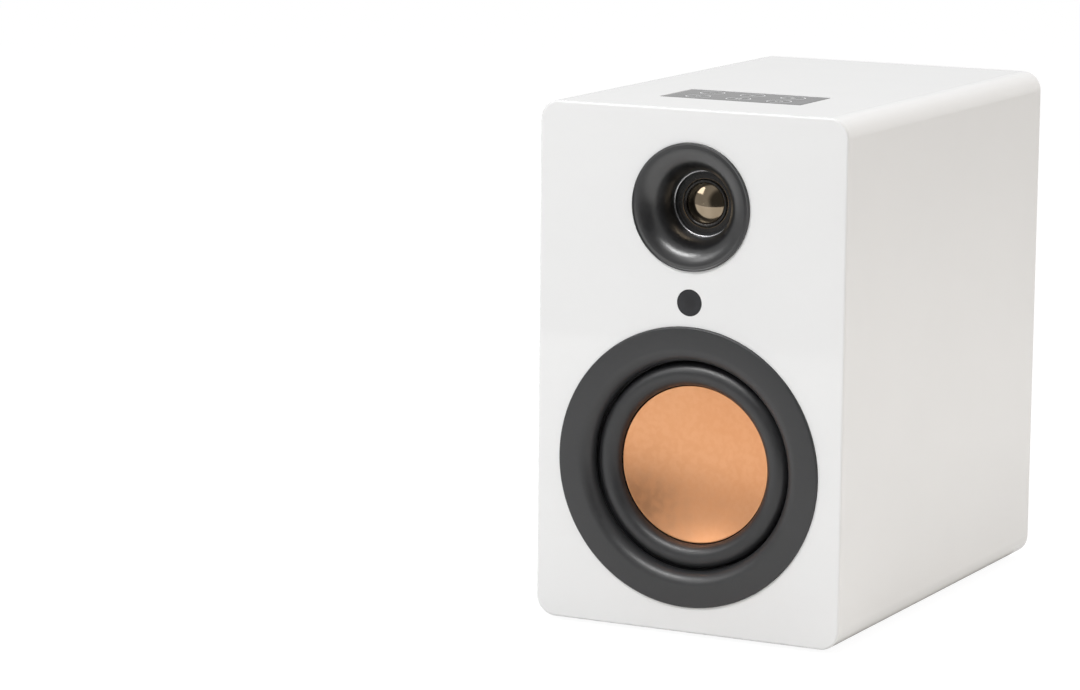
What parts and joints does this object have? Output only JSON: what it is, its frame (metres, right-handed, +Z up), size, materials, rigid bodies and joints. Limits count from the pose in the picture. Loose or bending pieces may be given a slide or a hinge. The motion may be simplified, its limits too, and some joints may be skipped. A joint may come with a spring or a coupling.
{
  "type": "bookshelf speaker",
  "caption": "Powered two-way bookshelf speaker with a copper-coloured woofer, a dome tweeter in a waveguide, a touch panel on top and a rear amplifier plate.",
  "frame": {"origin": "on the surface that the feet stand on, under the middle of the whole speaker", "axes": "+Z up; +Y from the front panel to the back; +X to the right as a person facing the front sees it"},
  "size_m": [0.165, 0.2572, 0.262],
  "materials": {
    "white_lacquer": "high-gloss white lacquer on fibreboard",
    "fibreboard": "bare medium-density fibreboard",
    "wool_pad": "needled polyester wadding",
    "foot_rubber": "matte black rubber",
    "trim_rubber": "matte charcoal rubberised ring",
    "basket_steel": "black powder coat on steel",
    "gasket_foam": "closed-cell black foam",
    "surround_rubber": "satin black butyl rubber",
    "copper_dish": "fine-grained copper-coloured satin metal",
    "black_paper": "black pressed paper pulp",
    "former_film": "amber polyimide film",
    "coil_wire": "enamelled copper wire",
    "spider_cloth": "resin-treated corrugated cotton",
    "motor_steel": "zinc-plated steel",
    "ferrite": "ground ferrite",
    "terminal_board": "phenolic board with tinned blades",
    "tinsel": "braided tinsel copper",
    "screw_black": "blackened steel",
    "guide_plastic": "satin black moulded plastic",
    "dome_film": "bronze mirror-metallised film",
    "amber_film": "translucent amber film",
    "frame_plastic": "black glass-filled plastic",
    "nickel_magnet": "nickel-plated neodymium",
    "window_plastic": "smoked infrared-clear plastic",
    "receiver_epoxy": "black epoxy",
    "board_green": "green solder mask over fibreglass",
    "touch_glass": "black-backed gloss glass with pale key rings",
    "adhesive": "double-sided adhesive sheet",
    "ribbon": "white flat ribbon cable",
    "port_plastic": "satin black moulded plastic",
    "plate_black": "black anodised aluminium plate",
    "post_brass": "brass",
    "sink_aluminium": "extruded aluminium",
    "transformer_core": "ferrite core with yellow-taped winding",
    "can_sleeve": "dark blue sleeve on aluminium can",
    "module_shield": "tinned steel shield",
    "socket_plastic": "black thermoplastic",
    "rocker_plastic": "semi-gloss black thermoplastic",
    "socket_metal": "nickel-plated brass",
    "button_plastic": "dark grey plastic",
    "lead_insulation": "coloured PVC insulation"
  },
  "bodies": {
    "root": {"cabinet_shell": "white_lacquer", "front_baffle": "white_lacquer", "rear_panel": "white_lacquer", "window_brace": "fibreboard", "damping_pads": "wool_pad", "rubber_feet": "foot_rubber", "woofer_trim_ring": "trim_rubber", "woofer_basket": "basket_steel", "woofer_gasket": "gasket_foam", "woofer_surround": "surround_rubber", "woofer_spider": "spider_cloth", "woofer_top_plate": "motor_steel", "woofer_magnet": "ferrite", "woofer_yoke": "motor_steel", "woofer_terminals": "terminal_board", "woofer_flex_leads": "tinsel", "woofer_screws": "screw_black", "tweeter_waveguide": "guide_plastic", "tweeter_gasket": "gasket_foam", "tweeter_surround": "amber_film", "tweeter_frame": "frame_plastic", "tweeter_pot": "motor_steel", "tweeter_magnet": "nickel_magnet", "tweeter_pole_piece": "motor_steel", "tweeter_terminals": "terminal_board", "tweeter_screws": "screw_black", "remote_window": "window_plastic", "remote_board": "board_green", "remote_receiver": "receiver_epoxy", "touch_glass": "touch_glass", "touch_adhesive": "adhesive", "touch_board": "board_green", "touch_ribbon": "ribbon", "port_tube": "port_plastic", "amp_plate": "plate_black", "amp_plate_gasket": "gasket_foam", "amp_plate_screws": "screw_black", "amp_board": "board_green", "board_standoffs": "post_brass", "heat_sink": "sink_aluminium", "wireless_module": "module_shield", "power_board": "board_green", "power_transformer": "transformer_core", "filter_capacitors": "can_sleeve", "mains_inlet": "socket_plastic", "power_switch_housing": "socket_plastic", "line_input_jacks": "socket_metal", "aux_jack": "socket_plastic", "pair_switch_body": "socket_plastic", "channel_switch_body": "socket_plastic", "internal_leads": "lead_insulation"},
    "woofer_moving": {"woofer_dish": "copper_dish", "woofer_cone": "black_paper", "woofer_former": "former_film", "woofer_voice_coil": "coil_wire"},
    "tweeter_moving": {"tweeter_dome": "dome_film", "tweeter_voice_coil": "coil_wire"},
    "power_rocker": {"power_rocker": "rocker_plastic"},
    "pair_button": {"pair_button": "button_plastic"},
    "channel_slider": {"channel_slider": "button_plastic"}
  },
  "joints": [
    {"name": "woofer_travel", "type": "slide", "parent": "root", "child": "woofer_moving", "axis": [0, -1, 0], "range_m": [-0.004, 0.004], "stiffness_N_per_m": 1000, "deforming": ["woofer_surround", "woofer_spider", "woofer_flex_leads"]},
    {"name": "tweeter_travel", "type": "slide", "parent": "root", "child": "tweeter_moving", "axis": [0, -1, 0], "range_m": [-0.00025, 0.00025], "stiffness_N_per_m": 3000, "deforming": ["tweeter_surround"]},
    {"name": "power_rocker_tilt", "type": "hinge", "parent": "root", "child": "power_rocker", "pos_m": [0.028, 0.1215, 0.047], "axis": [1, 0, 0], "range_deg": [-18, 0]},
    {"name": "pair_button_press", "type": "slide", "parent": "root", "child": "pair_button", "axis": [0, -1, 0], "range_m": [0, 0.0008], "stiffness_N_per_m": 1500},
    {"name": "channel_slider_slide", "type": "slide", "parent": "root", "child": "channel_slider", "axis": [1, 0, 0], "range_m": [0, 0.004]}
  ]
}
